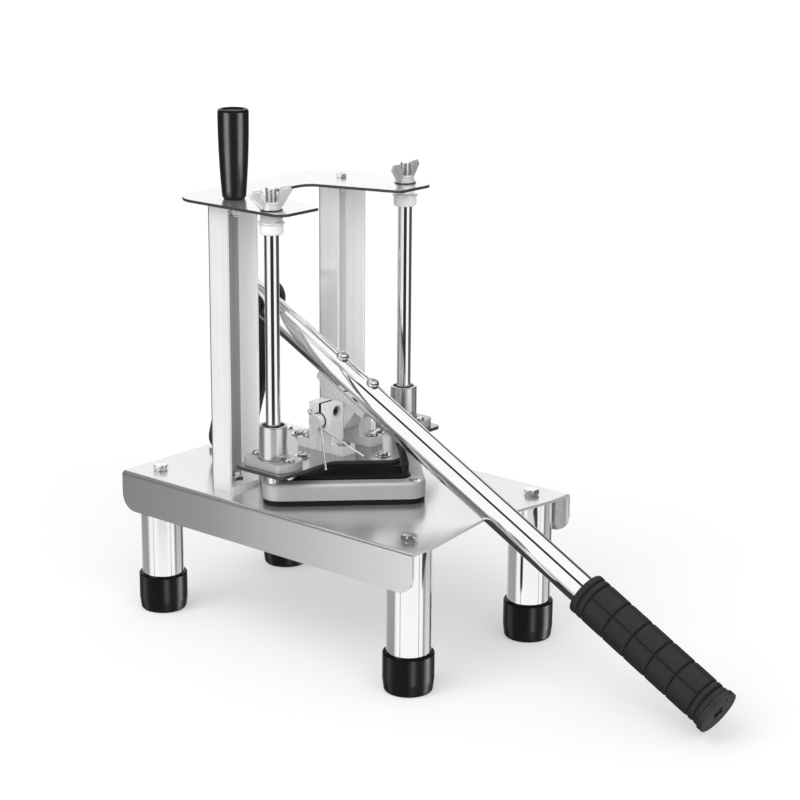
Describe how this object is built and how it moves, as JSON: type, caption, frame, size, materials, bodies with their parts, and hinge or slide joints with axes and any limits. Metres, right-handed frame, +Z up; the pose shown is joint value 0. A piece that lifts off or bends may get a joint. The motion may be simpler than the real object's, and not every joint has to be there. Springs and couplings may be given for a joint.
{
  "type": "french fry cutter",
  "caption": "Hand-lever french fry cutter: a studded pusher slides down guide rods and drives a potato through a square grid of blades on a legged steel table.",
  "frame": {"origin": "on the surface that the feet stand on, under the centre of the blade frame, where the cut strips land", "axes": "+Z up; -Y towards the operator and the lever's grip, +Y to the rear; +X to the operator's right, so the upright hand grip is on -X"},
  "size_m": [0.1739, 0.4562, 0.367],
  "materials": {
    "brushed_steel": "brushed stainless sheet",
    "polished_steel": "polished stainless tube",
    "chromed_steel": "ground and polished",
    "bright_zinc": "bright fastener steel",
    "cast_aluminium": "cast, softly blasted",
    "machined_aluminium": "sawn and milled",
    "ground_steel": "ground blade steel",
    "dark_plastic": "matte",
    "black_plastic": "moulded, satin",
    "gloss_black_plastic": "glossy",
    "black_rubber": "textured rubber",
    "white_nylon": "turned nylon",
    "black_steel": "black oxide"
  },
  "bodies": {
    "frame": {"base_plate": "brushed_steel", "leg_front_left": "polished_steel", "leg_front_right": "polished_steel", "leg_rear_left": "polished_steel", "leg_rear_right": "polished_steel", "foot_front_left": "black_rubber", "foot_front_right": "black_rubber", "foot_rear_left": "black_rubber", "foot_rear_right": "black_rubber", "leg_plugs": "dark_plastic", "leg_bolts": "bright_zinc", "column_left": "brushed_steel", "column_right": "brushed_steel", "column_bolts": "bright_zinc", "column_nuts": "bright_zinc", "top_plate": "brushed_steel", "hand_grip": "gloss_black_plastic", "hand_grip_stud": "bright_zinc", "guide_rod_left": "chromed_steel", "guide_rod_right": "chromed_steel", "rod_nuts": "bright_zinc", "rod_stop_nuts": "bright_zinc", "rod_bumpers": "white_nylon", "blade_frame": "cast_aluminium", "blade_gasket": "dark_plastic", "blades_upper": "ground_steel", "blades_lower": "ground_steel", "frame_screws": "bright_zinc", "frame_nuts": "bright_zinc", "link_bracket": "bright_zinc", "link_anchor_pin": "black_steel", "link_bracket_screws": "bright_zinc"},
    "pusher": {"pusher_plate": "brushed_steel", "pusher_block": "black_plastic", "pusher_block_screws": "bright_zinc", "bearing_left": "chromed_steel", "bearing_right": "chromed_steel", "bearing_cages": "dark_plastic", "bearing_screws": "bright_zinc", "bearing_nuts": "bright_zinc", "pivot_support_left": "machined_aluminium", "pivot_support_right": "machined_aluminium", "pivot_support_screws": "bright_zinc", "clamp_screws": "black_steel", "pivot_pin": "chromed_steel", "split_pin": "bright_zinc"},
    "lever": {"lever_tube": "polished_steel", "lever_bracket": "machined_aluminium", "lever_bracket_screws": "bright_zinc", "lever_grip": "black_rubber", "lever_end_cap": "gloss_black_plastic", "lever_bush": "dark_plastic"},
    "link": {"link_left": "black_steel", "link_right": "black_steel", "link_bolts": "bright_zinc"},
    "wing_nut_left": {"wing_nut_left": "bright_zinc"},
    "wing_nut_right": {"wing_nut_right": "bright_zinc"}
  },
  "joints": [
    {"name": "pusher_slide", "type": "slide", "parent": "frame", "child": "pusher", "axis": [0, 0, 1], "range_m": [0, 0.11]},
    {"name": "lever_swing", "type": "hinge", "parent": "pusher", "child": "lever", "pos_m": [0, 0, 0.153], "axis": [-1, 0, 0], "range_deg": [0, 63]},
    {"name": "link_swing", "type": "hinge", "parent": "frame", "child": "link", "pos_m": [0, 0.106, 0.118], "axis": [-1, 0, 0], "range_deg": [0, 11.6]},
    {"name": "wing_nut_left_turn", "type": "hinge", "parent": "frame", "child": "wing_nut_left", "pos_m": [-0.068, 0, 0.31], "axis": [0, 0, 1], "continuous": true},
    {"name": "wing_nut_right_turn", "type": "hinge", "parent": "frame", "child": "wing_nut_right", "pos_m": [0.068, 0, 0.31], "axis": [0, 0, 1], "continuous": true}
  ],
  "couplings": [
    {"joint": "lever_swing", "follows": "pusher_slide", "rad_per_m": 9.9849},
    {"joint": "link_swing", "follows": "pusher_slide", "rad_per_m": 1.8262}
  ]
}
